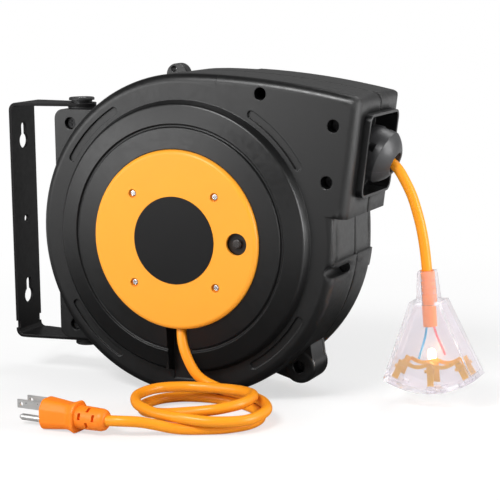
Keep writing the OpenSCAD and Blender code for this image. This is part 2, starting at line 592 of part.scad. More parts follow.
// the pawl's pin stands ahead of the gap it drops into; x is radial at the gap
module at_pawl() {
  at_reel() rotate([0, -pawl_a, 0]) translate([pawl_d * cos(pawl_lead), 0, pawl_d * sin(pawl_lead)]) children();
}
module pawl() color("#c9a24b") at_pawl() difference() {
  union() {
    bar_y(0, 0, 4.6, -flange_y - 3.8, -flange_y - 0.4);
    rotate([90, 0, 0]) translate([0, 0, flange_y + 0.4]) linear_extrude(3.4)
      polygon([[-3.9, -24.4], [-0.4, -24.4], [4.2, -1.5], [-4.2, -1.5], [-0.5, -12]]);
  }
  bar_y(0, 0, 2 + run_gap, -flange_y - 6, 0);
}
module pawl_pin() color("#a8abae") at_pawl() bar_y(0, 0, 2, floor_y + 1.5, -flange_y - 0.3);

// mouth guide with its stop plate and rollers
module mouth_guide() color("#2a2b2d") at_mouth() difference() {
  square_x(guide_out, 7, guide_back, guide_front);
  // opening in front of the stop plate and the roller bay behind it
  square_x(guide_half, 7 - guide_wall, stop_x + 3, guide_front + 1);
  square_x(guide_half, 7 - guide_wall, guide_back - 1, stop_x);
  bar_x(sqrt(pow(ball_r, 2) - pow(stop_x + 3 - ball_x, 2)) + 0.15, stop_x - 1, stop_x + 4);
  for (z = [-1, 1]) {
    bar_y(roller_x, z * roller_z, 2.01, -guide_out - 1, guide_out + 1);
    bar_y(guide_back / 2 - 2, z * guide_fix, shank_r + 0.02, -guide_out - 1, -guide_half + 1);
  }
}
module roller_pins() color("#b9bcc0") at_mouth() for (z = [-1, 1]) bar_y(roller_x, z * roller_z, 2, -guide_out, guide_out);
module roller(z) {
  at_mouth() translate([roller_x, 0, z * roller_z]) difference() {
    spin_y() polygon([[2 + run_gap, -guide_half + 0.3], [roller_r, -guide_half + 0.3], [roller_r, guide_half - 0.3], [2 + run_gap, guide_half - 0.3]]);
  }
}
module roller_upper() color("#e4e2da") roller(1);
module roller_lower() color("#e4e2da") roller(-1);

// the cord's straight run, the stop ball and the hanging end
module cord_run() color("#ff9d20") at_mouth() bar_x(cord_r, -mouth_u, ball_x + 0.4);
module ball_solid() {
  rotate([0, 90, 0]) rotate_extrude() polygon(concat([[cord_r + 0.1, -ball_r * 0.9]],
      arc([0, 0], ball_r, -64, 0, 9), [[ball_r, ball_r * 0.47]], arc([0, -4], ball_r + 4.2, 34.5, 66.5, 6), [[cord_r + 4.4, ball_r - 2.2], [cord_r + 0.1, 7]]));
}
// the halves meet on a plane turned about the ball's axis
ball_turn = -60;
module ball_half(s) {
  difference() {
    at_ball() difference() {
      ball_solid();
      rotate([ball_turn, 0, 0]) {
        translate([-50, s < 0 ? 0 : -100, -50]) cube([100, 100, 100]);
        for (z = [-1, 1]) translate([2, 0, z * 13]) {
          translate([-2.6, -ball_r, -2.6]) cube([5.2, ball_r - 10, 5.2]);
          bar_y(0, 0, 1.3, -ball_r, 10);
        }
      }
      bar_x(cord_r + 0.1, -1, 9);
    }
    at_mouth() bar_x(cord_r + 0.1, -60, ball_x + 1);
  }
}
module ball_front() color("#4b4b4e") ball_half(-1);
module ball_rear() color("#4b4b4e") ball_half(1);
module ball_screws() color("#b9bcc0") at_ball() rotate([ball_turn, 0, 0]) for (z = [-1, 1]) translate([2, 0, z * 13]) {
  bar_y(0, 0, 2.4, -11.8, -10);
  bar_y(0, 0, 1.2, -10.5, 9.6);
}
module outlet_cord() color("#ff9d20") translate(mouth_at) tube(outlet_route, cord_r);

// clear tap: a fan with a curved end, on a square neck
shoulder = -23;
fan_z = -tap_l + 10.3;
module fan(o) {
  // sides of the fan at thickness fraction; o insets every wall
  wt = 12.5 - o;
  wb = tap_w / 2 - o;
  tt = 10 - o;
  tb = tap_t / 2 - o;
  bow = 10.3;
  n = 8;
  z0 = shoulder - o;
  end = [for (i = [0 : n]) let (x = -1 + 2 * i / n) [wb * x, fan_z - bow * (1 - x * x) + o]];
  rim = concat([[-wt, z0], [wt, z0]], [for (i = [n : -1 : 0]) end[i]]);
  function th(z) = tt + (tb - tt) * min(1, (z0 - z) / (z0 - fan_z));
  m = len(rim);
  pts = concat([for (p = rim) [p[0], -th(p[1]), p[1]]], [for (p = rim) [p[0], th(p[1]), p[1]]]);
  polyhedron(pts, concat([for (k = [2 : m - 2]) [0, k, k + 1]], [[0, 1, 2]], [for (k = [2 : m - 2]) [m, m + k + 1, m + k]], [[m, m + 2, m + 1]],
      [for (k = [0 : m - 1]) let (j = (k + 1) % m) each [[k, m + k, j], [j, m + k, m + j]]]));
}
outlets = [-1, 0, 1];
module at_outlet(i) { translate([0, 0, shoulder + 18]) rotate([0, -i * 21, 0]) translate([0, 0, -tap_l - shoulder - 18 + (i == 0 ? 0 : 3)]) children(); }
module tap_body() color([0.93, 0.92, 0.92, 0.35]) at_tap() difference() {
  union() {
    fan(0);
    // tapered neck
    translate([0, 0, shoulder - 1]) rotate([0, 0, 45]) cylinder(r1 = 15.4 / sqrt(2), r2 = 12 / sqrt(2), h = -shoulder + 1, $fn = 4);
  }
  fan(3);
  translate([0, 0, shoulder - 6]) cylinder(r = 5.4, h = 40);
  // blade slots and ground holes of the outlets
  for (i = outlets) at_outlet(i) {
    for (y = [-1, 1]) translate([-3.6, y * 6.35 - 0.9, -2]) cube([7.2, 1.8, 12]);
    translate([i == 0 ? 8.2 : -i * 8.2, 0, -2]) cylinder(r = 2.6, h = 12);
  }
}
module tap_sleeve() color("#ff8f35") at_tap() difference() {
  union() {
    translate([0, 0, shoulder - 20]) cylinder(r = 5.35, h = -shoulder + 20);
  }
  for (z = [-8, -13, -18]) translate([0, 0, z]) difference() {
    cylinder(r = 6, h = 1.6);
    translate([0, 0, -1]) cylinder(r = 4.6, h = 4);
  }
}
module tap_contacts() color("#d9a441") at_tap() {
  for (i = outlets) at_outlet(i) for (y = [-1, 1]) translate([-3, y * 6.35 - (y < 0 ? 2 : -1), i == 0 ? 3.6 : 6.5]) cube([6, 1, 16]);
  // bus strips across the fan
  for (y = [-1, 1]) translate([-17, y * 6.35 - (y < 0 ? 2 : -1), -tap_l + 21.6]) cube([34, 1, 5]);
}
module tap_lamp() color("#fff3d0") at_tap() {
  translate([0, 0, -tap_l + 25]) cylinder(r = 3, h = 5.5);
  translate([0, 0, -tap_l + 30]) sphere(r = 2.6);
  bar_y(0, -tap_l + 25.8, 0.5, -7.35, 7.35);
}
module tap_wires() color("#3aa6c9") at_tap() for (s = [-1, 1])
  tube([[s * 2, s * 2, shoulder - 20], [s * 3, s * 5, shoulder - 28], [s * 6, s * 7, shoulder - 38], [s * 8, s * 7.85, -tap_l + 26]], 0.9, 8);

// power lead: from under the cover, coiled, to its plug
module lead_cord() color("#ff9d20") at_reel() tube(lead_route, cord_r, 10, [1, 0.1, 0.2]);
// the coil is one oval ring with the outline of its turns
module coil_section() {
  polygon(concat(arc([46, -123], 4.5, -90, 0, 3), arc([46, -112.5], 4.5, 0, 90, 3), arc([39, -111.5], 4.5, 90, 180, 3), arc([39, -123], 4.5, 180, 270, 3)));
}
module lead_coil() color("#ff9d20") translate(coil_at) for (s = [0, 1]) rotate([0, 0, 180 * s]) {
  translate([coil_straight / 2, 0, 0]) rotate([0, 0, -90]) rotate_extrude(angle = 180) coil_section();
  translate([-coil_straight / 2, 0, 0]) rotate([90, 0, 90]) linear_extrude(coil_straight) coil_section();
}
module plug_tail() color("#ff9d20") at_reel() tube(tail_route, cord_r, 10, [0, 0.1, 1]);
module plug_slab(x0, x1, hy, hz, r) {
  translate([x0, 0, 0]) rotate([90, 0, 90]) linear_extrude(x1 - x0) polygon(concat(
      arc([hy - r, hz - r], r, 0, 90, 4), arc([-hy + r, hz - r], r, 90, 180, 4), arc([-hy + r, -hz + r], r, 180, 270, 4), arc([hy - r, -hz + r], r, 270, 360, 4)));
}
module blade_pair(x0, x1) { for (y = [-1, 1]) translate([x0, y * 6.35 - 0.75, 2.8]) cube([x1 - x0, 1.5, 6.35]); }
module ground(x0, x1) { translate([0, 0, -6]) { bar_x(2.4, x0, x1 - 2); translate([x1 - 2, 0, 0]) rotate([0, 90, 0]) cylinder(r1 = 2.4, r2 = 1.2, h = 2); } }
plug_back = -16.5;
relief_l = 24;
module plug_body() color("#ff8f1f") at_plug() difference() {
  union() {
    plug_slab(4, 16.5, 10.6, 11.4, 4);
    plug_slab(-4, 4, 9.8, 10.5, 4);
    plug_slab(-10.5, -4, 9.2, 9.7, 4);
    plug_slab(plug_back, -10.5, 10.4, 10.8, 5);
  }
  blade_pair(9, 20);
  ground(9, 24);
}
module plug_relief() color("#ff8f1f") at_plug() difference() {
  translate([plug_back, 0, 0]) rotate([0, -90, 0]) rotate_extrude() polygon([[0, 0], [8.8, 0], [8.3, relief_l - 4.5], [7.6, relief_l - 2],
      [6.2, relief_l - 0.6], [4.6, relief_l], [0, relief_l]]);
  // staggered columns of flex slots
  for (k = [0 : 2]) for (a = [0 : 90 : 270]) rotate([a + (k == 1 ? 62 : 17), 0, 0])
    translate([plug_back - 4.4 - 5.9 * k, 0, 8.4]) cube([2.2, 5, 6], center = true);
}
module plug_blades() color("#c9ccce") at_plug() difference() {
  blade_pair(9, 34.2);
  bar_y(30.6, 5.97, 1.6, -10, 10);
}
module plug_ground() color("#c9ccce") at_plug() ground(9, 37);

wall_bracket();
front_shell();
rear_shell();
housing_screws();
guide_screws();
swivel_posts();
swivel_caps();
cap_screws();
thrust_washers();
hub_cover();
hub_cover_screws();
label_disc();
breaker_body();
reset_button();
lead_clamp();
axle();
mainspring();
brush_holder();
brushes();
drum_core();
front_flange();
rear_flange();
drum_screws();
spring_cover();
wound_cord();
slip_carrier();
slip_rings();
ratchet_ring();
pawl();
pawl_pin();
mouth_guide();
roller_upper();
roller_lower();
roller_pins();
cord_run();
ball_front();
ball_rear();
ball_screws();
outlet_cord();
tap_body();
tap_sleeve();
tap_contacts();
tap_lamp();
tap_wires();
lead_cord();
lead_coil();
plug_tail();
plug_relief();
plug_body();
plug_blades();
plug_ground();
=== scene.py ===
import json
import math

import bpy
import numpy as np
from mathutils import Matrix, Vector

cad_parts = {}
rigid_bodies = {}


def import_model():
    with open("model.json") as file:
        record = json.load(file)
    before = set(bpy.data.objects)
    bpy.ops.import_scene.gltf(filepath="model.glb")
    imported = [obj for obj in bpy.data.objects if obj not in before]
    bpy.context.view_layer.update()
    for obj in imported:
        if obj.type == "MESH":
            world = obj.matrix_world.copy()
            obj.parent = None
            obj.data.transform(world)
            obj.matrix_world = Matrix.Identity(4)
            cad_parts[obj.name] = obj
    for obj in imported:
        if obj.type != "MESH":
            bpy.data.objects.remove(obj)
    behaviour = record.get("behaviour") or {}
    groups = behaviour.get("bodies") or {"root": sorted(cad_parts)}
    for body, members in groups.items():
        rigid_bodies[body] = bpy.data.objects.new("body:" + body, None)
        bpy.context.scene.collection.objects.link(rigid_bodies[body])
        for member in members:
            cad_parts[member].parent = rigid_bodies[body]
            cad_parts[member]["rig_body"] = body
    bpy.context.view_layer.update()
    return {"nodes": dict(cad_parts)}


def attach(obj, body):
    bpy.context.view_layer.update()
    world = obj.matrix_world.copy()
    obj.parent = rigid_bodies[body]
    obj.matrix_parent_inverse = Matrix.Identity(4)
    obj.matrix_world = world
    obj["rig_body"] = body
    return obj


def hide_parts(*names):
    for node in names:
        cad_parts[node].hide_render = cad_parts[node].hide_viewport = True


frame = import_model()


# Wall bracket. A steel strap sheared, punched and bent to a C, then powder coated black.
# It is screwed to the wall through two keyholes and carries the reel between its two arms.
def surface(name, colour, rough, grain, relief, edge,
            metal=0.0, spread=0.06, shine=0.5, edge_highlight=0.0):
    """A material: the colour clouded by slow noise, roughness clouded by a finer one, and a
    relief of noise whose cell is grain metres across; edge is the radius that corners are
    shaded with, and the last argument lightens those corners as a painted highlight."""
    clouds, smears = 35, 260  # noise cells per metre
    mat = bpy.data.materials.new(name)
    mat.use_nodes = True
    tree = mat.node_tree
    shader = tree.nodes["Principled BSDF"]
    shader.inputs["Metallic"].default_value = metal
    shader.inputs["Specular IOR Level"].default_value = shine
    place = tree.nodes.new("ShaderNodeTexCoord")
    place.name = "place"

    def noise(scale, detail):
        """Noise on the piece's own coordinates."""
        node = tree.nodes.new("ShaderNodeTexNoise")
        node.inputs["Scale"].default_value = scale
        node.inputs["Detail"].default_value = detail
        tree.links.new(place.outputs["Object"], node.inputs["Vector"])
        return node.outputs["Fac"]

    def ramp(value, low, high):
        """The middle two fifths of a noise, spread from low to high."""
        node = tree.nodes.new("ShaderNodeValToRGB")
        first, last = node.color_ramp.elements
        first.position, last.position = 0.3, 0.7
        first.color, last.color = low, high
        tree.links.new(value, node.inputs["Fac"])
        return node.outputs["Color"]

    shades = [tuple(c * (1 + s * spread) for c in colour) + (1,) for s in (-1, 1)]
    tint = ramp(noise(clouds, 3), *shades)
    polished, dull = ((rough * share,) * 3 + (1,) for share in (0.88, 1.12))
    tree.links.new(ramp(noise(smears, 4), polished, dull), shader.inputs["Roughness"])
    bump = tree.nodes.new("ShaderNodeBump")
    bump.name = "grain"
    bump.inputs["Strength"].default_value = 0.5
    bump.inputs["Distance"].default_value = relief
    tree.links.new(noise(1 / grain, 2), bump.inputs["Height"])
    tree.links.new(bump.outputs["Normal"], shader.inputs["Normal"])
    if edge:
        round_edge = tree.nodes.new("ShaderNodeBevel")
        round_edge.name = "edge"
        round_edge.samples = 6
        round_edge.inputs["Radius"].default_value = edge
        tree.links.new(round_edge.outputs["Normal"], bump.inputs["Normal"])
    # A painted highlight: corners are lightened where the rounded shading normal turns from the
    # true one.
    if edge_highlight:
        true_normal = tree.nodes.new("ShaderNodeNewGeometry").outputs["Normal"]
        dot = tree.nodes.new("ShaderNodeVectorMath")
        dot.operation = "DOT_PRODUCT"
        tree.links.new(true_normal, dot.inputs[0])
        tree.links.new(round_edge.outputs["Normal"], dot.inputs[1])
        highlight_mask = tree.nodes.new("ShaderNodeMapRange")  # cosines of 8 and 41 degrees
        highlight_mask.inputs["From Min"].default_value = 0.99
        highlight_mask.inputs["From Max"].default_value = 0.75
        highlight_mask.inputs["To Max"].default_value = edge_highlight
        tree.links.new(dot.outputs["Value"], highlight_mask.inputs["Value"])
        highlighted_edge = tree.nodes.new("ShaderNodeMix")
        highlighted_edge.data_type = "RGBA"
        tree.links.new(highlight_mask.outputs["Result"], highlighted_edge.inputs["Factor"])
        tree.links.new(tint, highlighted_edge.inputs["A"])
        # The painted highlight's colour: twice the base colour, a little lighter.
        highlighted_edge.inputs["B"].default_value = tuple(min(1, c * 2 + 0.14) for c in colour) + (1,)
        tint = highlighted_edge.outputs["Result"]
    tree.links.new(tint, shader.inputs["Base Color"])
    return mat


def dressed(node, name, material, crease=32):
    """The CAD node's own surface with its triangles joined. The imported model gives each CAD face
    its exact normals; where faces meet at less than the crease angle their normals are joined,
    weighted by the square of the face's area, so that a wide face stays true and narrow rounding
    strips bend over to it."""
    source = frame["nodes"][node].data
    spots = np.empty(len(source.vertices) * 3, np.float32)
    source.vertices.foreach_get("co", spots)
    corners = np.empty(len(source.loops), np.int32)
    source.loops.foreach_get("vertex_index", corners)
    normals = np.empty(len(source.loops) * 3, np.float32)
    source.corner_normals.foreach_get("vector", normals)
    spots = spots.reshape(-1, 3).astype(float)
    normals = normals.reshape(-1, 3, 3).astype(float)
    tri = corners.reshape(-1, 3)
    count = len(spots)

    # Every point of a CAD face gets the lowest point number in it, passed on between triangles.
    face = np.arange(count)
    for _ in range(400):
        before = face.copy()
        np.minimum.at(face, tri, face[tri].min(1)[:, None])
        face = face[face]
        if (face == before).all():
            break

    # Points within 2 micrometres become one, and triangles that this closes up are left out.
    _, one, joined = np.unique(np.round(spots / 2e-6).astype(np.int64), axis=0,
                               return_index=True, return_inverse=True)
    joined = joined.reshape(-1)
    kept = (joined[tri] != joined[np.roll(tri, 1, 1)]).all(1)
    tri, normals = tri[kept], normals[kept]
    a, b, c = spots[tri].transpose(1, 0, 2)
    area = np.bincount(face[tri[:, 0]], np.linalg.norm(np.cross(b - a, c - a), axis=1), count)

    # One entry for each point of each face, with that face's normal there.
    entry, which = np.unique(joined[tri].astype(np.int64) * count + face[tri], return_inverse=True)
    which = which.reshape(-1)
    normals = normals.reshape(-1, 3)
    own = np.stack([np.bincount(which, normals[:, k], len(entry)) for k in range(3)], 1)
    own /= np.maximum(np.linalg.norm(own, axis=1, keepdims=True), 1e-9)
    pull = own * ((area[entry % count] ** 2)[:, None] + 1e-16)

    # A point's entries follow each other in the list, so each is held against the next eight.
    point, shading = entry // count, pull.copy()
    for step in range(1, 9):
        near = (own[step:] * own[:-step]).sum(1) > math.cos(math.radians(crease))
        near = (near & (point[step:] == point[:-step]))[:, None]
        shading[step:] += np.where(near, pull[:-step], 0)
        shading[:-step] += np.where(near, pull[step:], 0)
    shading /= np.maximum(np.linalg.norm(shading, axis=1, keepdims=True), 1e-30)

    mesh = bpy.data.meshes.new(name)
    mesh.from_pydata(spots[one].tolist(), [], joined[tri].tolist())
    mesh.polygons.foreach_set("use_smooth", np.ones(len(mesh.polygons), bool))
    mesh.normals_split_custom_set(shading[which].tolist())
    mesh.materials.append(material)
    piece = bpy.data.objects.new(name, mesh)
    bpy.context.scene.collection.objects.link(piece)
    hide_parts(node)
    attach(piece, frame["nodes"][node]["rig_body"])
    return piece


# Its corners carry a painted highlight.
powder_coat = surface("black_powder_coat", (0.009, 0.0085, 0.009), rough=0.42, grain=0.0011,
                      relief=0.00006, edge=0.0009, shine=0.14, edge_highlight=0.3)
dressed("wall_bracket", "bent_wall_bracket", powder_coat)


# Swivel. Steel posts pressed in the housing turn in the bracket's arms on black nylon washers,
# and a moulded cap is screwed on each end.
# Its corners carry a faint painted highlight.
cap_plastic = surface("black_cap_plastic", (0.022, 0.022, 0.023), rough=0.46, grain=0.0006,
                      relief=0.00003, edge=0.0006, edge_highlight=0.1)
post_steel = surface("turned_steel", (0.48, 0.49, 0.50), rough=0.3, grain=0.0009,
                     relief=0.00001, edge=0.0003, metal=1.0)
washer_nylon = surface("black_washer_nylon", (0.018, 0.018, 0.019), rough=0.5, grain=0.0012,
                       relief=0.00002, edge=0.0004)
dressed("swivel_caps", "swivel_end_caps", cap_plastic)
dressed("swivel_posts", "swivel_post_pair", post_steel)
dressed("thrust_washers", "nylon_thrust_washers", washer_nylon)


# Screws. Cold headed steel, zinc plated. Bright ones hold the swivel's caps; dark ones, their
# colour partly painted shade, sit deep in the housing's wells, where they clamp its halves
# together and hold the mouth's frame.
zinc = surface("bright_zinc", (0.78, 0.79, 0.80), rough=0.24, grain=0.0004,
               relief=0.000008, edge=0.0001, metal=1.0)
# A dark finish, made darker still as painted shade so that the deep wells read black.
dark_zinc = surface("dark_zinc", (0.022, 0.022, 0.023), rough=0.4, grain=0.0005,
                    relief=0.00001, edge=0.0002, metal=0.6)
dressed("cap_screws", "swivel_cap_screws", zinc)
dressed("housing_screws", "housing_joint_screws", dark_zinc)
dressed("guide_screws", "mouth_guide_screws", dark_zinc)


# Housing. Two halves moulded in charcoal ABS with a fine spark-eroded grain, screwed together
# from the front through deep wells; the front half carries the dome, its rings and the mouth.
reel_x, reel_r = 0.1745, 0.127
shell_crease = 44


def graded(tree, value, start, end, low, high):
    """A value graded smoothly from low to high while the given one goes from start to end."""
    node = tree.nodes.new("ShaderNodeMapRange")
    node.interpolation_type = "SMOOTHSTEP"
    for socket, number in zip(("From Min", "From Max", "To Min", "To Max"),
                              (start, end, low, high)):
        node.inputs[socket].default_value = number
    tree.links.new(value, node.inputs["Value"])
    return node.outputs["Result"]


housing_plastic = surface("charcoal_moulding", (0.0062, 0.0062, 0.0064), rough=0.36,
                          grain=0.00055, relief=0.00002, edge=0.001, spread=0.05, shine=0.62)
tree = housing_plastic.node_tree
place, round_edge = tree.nodes["place"].outputs["Object"], tree.nodes["edge"]

# The halves meet at y = 0 in a fine groove, laid over the rounded edges and under the grain.
groove_half, groove_depth = 0.0017, 0.0014
across = tree.nodes.new("ShaderNodeSeparateXYZ")
tree.links.new(place, across.inputs[0])
from_joint = tree.nodes.new("ShaderNodeMath")
from_joint.operation = "ABSOLUTE"
tree.links.new(across.outputs["Y"], from_joint.inputs[0])
groove = tree.nodes.new("ShaderNodeBump")
groove.inputs["Strength"].default_value = 1.0
groove.inputs["Distance"].default_value = groove_depth
tree.links.new(graded(tree, from_joint.outputs[0], 0, groove_half, 0, 1), groove.inputs["Height"])
tree.links.new(round_edge.outputs["Normal"], groove.inputs["Normal"])
tree.links.new(groove.outputs["Normal"], tree.nodes["grain"].inputs["Normal"])

# The corners beside the mouth are softer: the shaded edge widens toward the mouth's tilted face.
mouth_facing = (0.99122, 0, -0.13226)
edge_starts, edge_ends, fine_edge, soft_edge = 0.2905, 0.299, 0.001, 0.0095
toward_mouth = tree.nodes.new("ShaderNodeVectorMath")
toward_mouth.operation = "DOT_PRODUCT"
toward_mouth.inputs[1].default_value = mouth_facing
tree.links.new(place, toward_mouth.inputs[0])
tree.links.new(graded(tree, toward_mouth.outputs["Value"], edge_starts, edge_ends,
                      fine_edge, soft_edge), round_edge.inputs["Radius"])
dressed("front_shell", "front_housing_half", housing_plastic, crease=shell_crease)
dressed("rear_shell", "rear_housing_half", housing_plastic, crease=shell_crease)


def grid_quads(rows, columns, count=1):
    """The quads of some grids, each closed round its columns, with points numbered row by row."""
    here = np.arange(count * rows * columns).reshape(count, rows, columns)
    beside = np.roll(here, -1, 2)
    quads = np.stack([here[:, 1:], beside[:, 1:], beside[:, :-1], here[:, :-1]], -1)
    return quads.reshape(-1, 4)


def shaped(name, points, faces, material, body, crease=35):
    """A piece from its points and faces, shaded smooth up to the crease angle."""
    mesh = bpy.data.meshes.new(name)
    mesh.from_pydata(points.reshape(-1, 3).tolist(), [], faces)
    mesh.polygons.foreach_set("use_smooth", np.ones(len(mesh.polygons), bool))
    mesh.set_sharp_from_angle(angle=math.radians(crease))
    mesh.materials.append(material)
    piece = bpy.data.objects.new(name, mesh)
    bpy.context.scene.collection.objects.link(piece)
    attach(piece, body)
    return piece


def roof_fairing():
    """The wall where the round housing runs into the bent top. Along x it goes from 10 mm before
    the reel's highest point to 1 mm inside the mouth box; its section is one closed loop, up the
    front face, over a 7 mm edge, across the roof, down an 8 mm edge at the rear and back 3 mm
    further in. Over its first 16 mm the roof's height is blended, by s^2 (3 - 2 s), from the
    circle's, sqrt(r^2 - x^2) less 0.3 mm, to the bent top's, a circle of radius 660 mm."""
    front, rear, front_edge, rear_edge, wall = 0.04795, 0.03795, 0.007, 0.008, 0.003
    front_drop, rear_drop, sunk, proud = 0.0115, 0.0125, 0.0003, 0.00015
    start, end, blend, bend_r = -0.010, 0.0314, 0.016, 0.66
    x = np.linspace(start, end, 40)[:, None]
    turn = np.linspace(0, np.pi / 2, 9)
    flat = np.linspace(-0.03, 0.02, 6)
    y = np.r_[-front, -front + front_edge * (1 - np.cos(turn)), flat,
              rear - rear_edge * (1 - np.sin(turn)), rear]
    drop = np.r_[front_drop, front_edge * (1 - np.sin(turn)), 0 * flat,
                 rear_edge * (1 - np.cos(turn)), rear_drop]
    y = np.r_[y, np.clip(y, wall - front, rear - wall)[::-1]]
    drop = np.r_[drop, drop[::-1] + wall]
    circle = np.sqrt(reel_r ** 2 - x ** 2) - sunk
    bent = reel_r + proud - bend_r + np.sqrt(bend_r ** 2 - x ** 2)
    share = np.clip((x - start) / blend, 0, 1)
    roof = circle + share ** 2 * (3 - 2 * share) * (bent - circle)
    points = np.stack(np.broadcast_arrays(reel_x + x, y, roof - drop), -1)
    rows, columns = points.shape[:2]
    here = np.arange(columns // 2 - 1)
    cap = np.stack([here, here + 1, columns - 2 - here, columns - 1 - here], -1)
    last_cap = cap[:, ::-1] + (rows - 1) * columns
    faces = np.concatenate([grid_quads(rows, columns), cap, last_cap]).tolist()
    return shaped("housing_roof_fairing", points, faces, housing_plastic,
                  "housing", crease=shell_crease)


roof_fairing()


# Hub cover. An orange ABS lid with a rounded rim, held by four pan head screws over the winding
# shaft's end; a plain disc of black foil is stuck in its shallow seat.
cover_plastic = surface("orange_cover", (0.94, 0.37, 0.028), rough=0.36, grain=0.0007,
                        relief=0.00002, edge=0.0007, spread=0.012, shine=0.35)
dressed("hub_cover", "orange_hub_cover", cover_plastic)


def tube_faces(rows, columns, count=1):
    """The quads of some closed grids, then the first and the last row of each as its end faces."""
    here = np.arange(count * rows * columns).reshape(count, rows, columns)
    ends = here[:, 0].tolist() + here[:, -1, ::-1].tolist()
    return grid_quads(rows, columns, count).tolist() + ends


def cover_screw_set():
    """Pan head screws. Round the axis a profile runs from the crown, a flat arc, over the rim and
    under the head to the shank and its tip; a cross with soft walls is pressed in the crown:
    depth = d / ((1 + e^((nearer - w)/s)) (1 + e^((further - reach)/s))), nearer and further
    being the smaller and larger of a point's two distances from the cross's arms."""
    head_r, head_h, shank_r, shank_l = 0.0025, 0.0014, 0.0012, 0.0062
    deep, arm, reach, soft = 0.62 * head_h, 0.13 * head_r, 0.55 * head_r, 0.03 * head_r
    pitch, seat_y = 0.035, -0.0619
    feet = np.array([(reel_x + i * pitch, seat_y, k * pitch) for i in (-1, 1) for k in (-1, 1)])
    turn = np.array((0.3, 1.1, 0.7, 0.1))[:, None, None]
    crown = np.linspace(0.02, 0.86, 26)
    r = np.r_[crown, 0.94, 0.985, 1.0, 1.0, 0.985] * head_r
    h = np.r_[1 - 0.22 * crown ** 2, 0.74, 0.62, 0.45, 0.05, 0.0] * head_h
    r = np.r_[r, shank_r, shank_r, 0.3 * shank_r][:, None]
    h = np.r_[h, 0.0, -0.85 * shank_l, -shank_l][:, None]
    angle = np.linspace(0, 2 * np.pi, 72, endpoint=False)
    x, z = r * np.cos(angle), r * np.sin(angle)
    nearer, further = np.minimum(abs(x), abs(z)), np.maximum(abs(x), abs(z))
    pressed = deep / ((1 + np.exp((nearer - arm) / soft)) * (1 + np.exp((further - reach) / soft)))
    high = h - np.where(h > 0.5 * head_h, pressed, 0)
    turned_x = np.cos(turn) * x - np.sin(turn) * z
    turned_z = np.sin(turn) * x + np.cos(turn) * z
    local = np.stack(np.broadcast_arrays(turned_x, -high, turned_z), -1)
    count, rows, columns = local.shape[:3]
    return shaped("hub_cover_screw_set", feet[:, None, None] + local,
                  tube_faces(rows, columns, count), zinc, "housing")


cover_screws = cover_screw_set()
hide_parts("hub_cover_screws")
label_foil = surface("black_label_foil", (0.008, 0.008, 0.0085), rough=0.36, grain=0.0015,
                     relief=0.000012, edge=0.0003, shine=0.28)
dressed("label_disc", "bare_black_label", label_foil)


# Overload breaker. A block of black phenolic seated under the hub cover, with a push-to-reset
# button of glossy black plastic that stands in a round well of the cover.
button_plastic = surface("reset_button_plastic", (0.03, 0.024, 0.022), rough=0.28, grain=0.0005,
                         relief=0.00001, edge=0.0006, shine=0.8)
phenolic_black = surface("black_phenolic", (0.010, 0.007, 0.006), rough=0.4, grain=0.0005,
                         relief=0.00001, edge=0.0005)
dressed("breaker_body", "overload_breaker", phenolic_black)
dressed("reset_button", "reset_push_button", button_plastic)


# Cord mouth. A rounded square frame moulded in black nylon and screwed in the housing's mouth;
# the cord runs out between two acetal rollers on steel pins.
# Its corners carry a strong painted highlight, a thin bright rim round the mouth.
guide_nylon = surface("mouth_guide_nylon", (0.007, 0.007, 0.0075), rough=0.36, grain=0.0006,
                      relief=0.00002, edge=0.0009, edge_highlight=0.7)
roller_acetal = surface("roller_acetal", (0.70, 0.69, 0.65), rough=0.4, grain=0.0008,
                        relief=0.00001, edge=0.0004)
dressed("mouth_guide", "cord_mouth_frame", guide_nylon)
dressed("roller_pins", "cord_roller_pins", post_steel)
dressed("roller_upper", "upper_cord_roller", roller_acetal)
dressed("roller_lower", "lower_cord_roller", roller_acetal)


# Stop ball. Two moulded nylon halves, clamped on the cord by screws; drawn up against the mouth's
# frame, it keeps the cord's end from running into the housing.
# Its corners carry a painted highlight.
ball_nylon = surface("stop_ball_nylon", (0.044, 0.044, 0.046), rough=0.38, grain=0.0006,
                     relief=0.00002, edge=0.0004, edge_highlight=0.3)
dressed("ball_front", "stop_ball_front_half", ball_nylon)
dressed("ball_rear", "stop_ball_rear_half", ball_nylon)
dressed("ball_screws", "stop_ball_clamp_screws", zinc)


# Cords. Round three-core cable, 8 mm over its orange PVC jacket; the cores are laid up in a long
# helix that shows faintly through the jacket. The power lead comes out under the hub cover and
# lies coiled on the floor below; the outlet cord hangs from the stop ball to the tap.
cord_d = 0.008
cord_jacket = surface("orange_cord_jacket", (0.94, 0.325, 0.012), rough=0.34, grain=0.0008,
                      relief=0.000012, edge=0, spread=0.02, shine=0.4)


